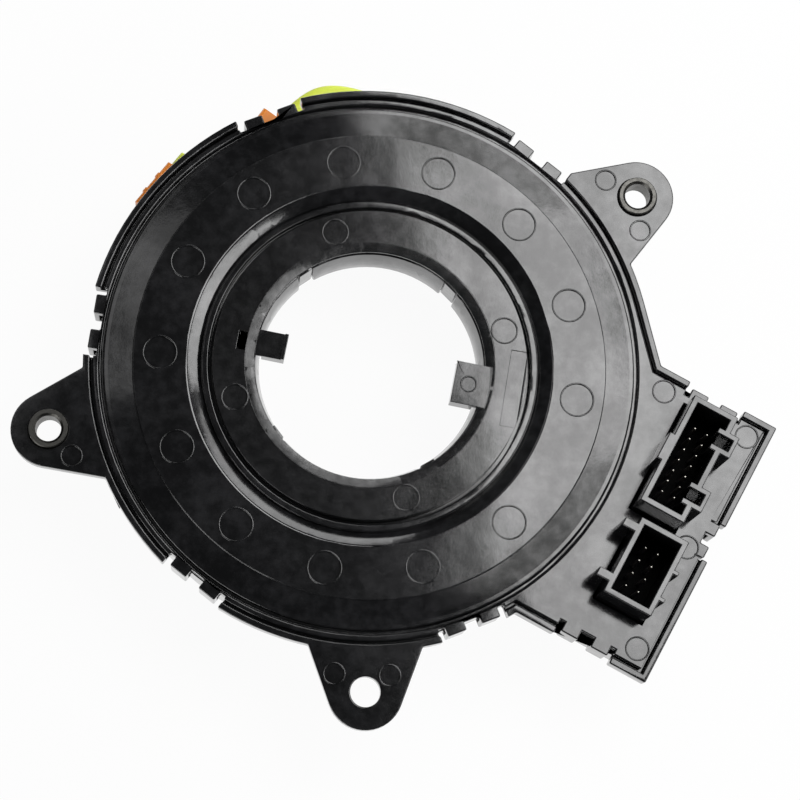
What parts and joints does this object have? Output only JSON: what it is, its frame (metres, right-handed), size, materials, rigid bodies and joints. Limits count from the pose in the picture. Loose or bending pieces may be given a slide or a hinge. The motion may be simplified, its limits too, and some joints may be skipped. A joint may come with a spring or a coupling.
{
  "type": "steering clock spring",
  "caption": "Spiral cable unit for a steering column: a turning hub carries current to a fixed ring case with ears and plug-in headers.",
  "frame": {"origin": "on the turning axis, at the front end of the hub's collar, on which the part lies", "axes": "+Z along the turning axis towards the rear face with the headers; +X and +Y across it, with the header box towards +X and -Y"},
  "size_m": [0.1471, 0.1334, 0.0365],
  "materials": {
    "case_plastic": "moulded black, semi-gloss",
    "hub_plastic": "moulded black, semi-gloss",
    "sleeve_acetal": "moulded black acetal, semi-gloss",
    "inner_plastic": "moulded black",
    "tinned_pins": "tinned contact pins",
    "bush_steel": "zinc-plated steel",
    "cable_film": "laminated film with flat conductors",
    "slip_film": "smooth low-friction film",
    "yellow_sleeving": "soft yellow sleeving",
    "orange_plastic": "moulded orange",
    "yellow_plastic": "moulded yellow"
  },
  "bodies": {
    "stator": {"stator_case": "case_plastic", "rear_cover": "case_plastic", "upper_header": "case_plastic", "lower_header": "case_plastic", "upper_header_pins": "tinned_pins", "lower_header_pins": "tinned_pins", "terminal_carrier": "inner_plastic", "stator_cable_clamp": "inner_plastic", "flat_cable": "cable_film", "rear_slip_sheet": "slip_film", "right_ear_bush": "bush_steel", "left_ear_bush": "bush_steel"},
    "rotor": {"rotor_hub": "hub_plastic", "rear_sleeve": "sleeve_acetal", "front_slip_sheet": "slip_film", "rotor_cable_clamp": "inner_plastic", "rotor_connector": "inner_plastic", "rotor_connector_pins": "tinned_pins", "lead_outlet": "inner_plastic", "airbag_lead_a": "yellow_sleeving", "airbag_lead_b": "yellow_sleeving", "squib_plug_a": "orange_plastic", "squib_plug_b": "orange_plastic", "squib_lock_a": "yellow_plastic", "squib_lock_b": "yellow_plastic"}
  },
  "joints": [
    {"name": "hub_turn", "type": "hinge", "parent": "stator", "child": "rotor", "pos_m": [0, 0, 0.018], "axis": [0, 0, 1], "range_deg": [-900, 900], "deforming": ["flat_cable"]}
  ]
}
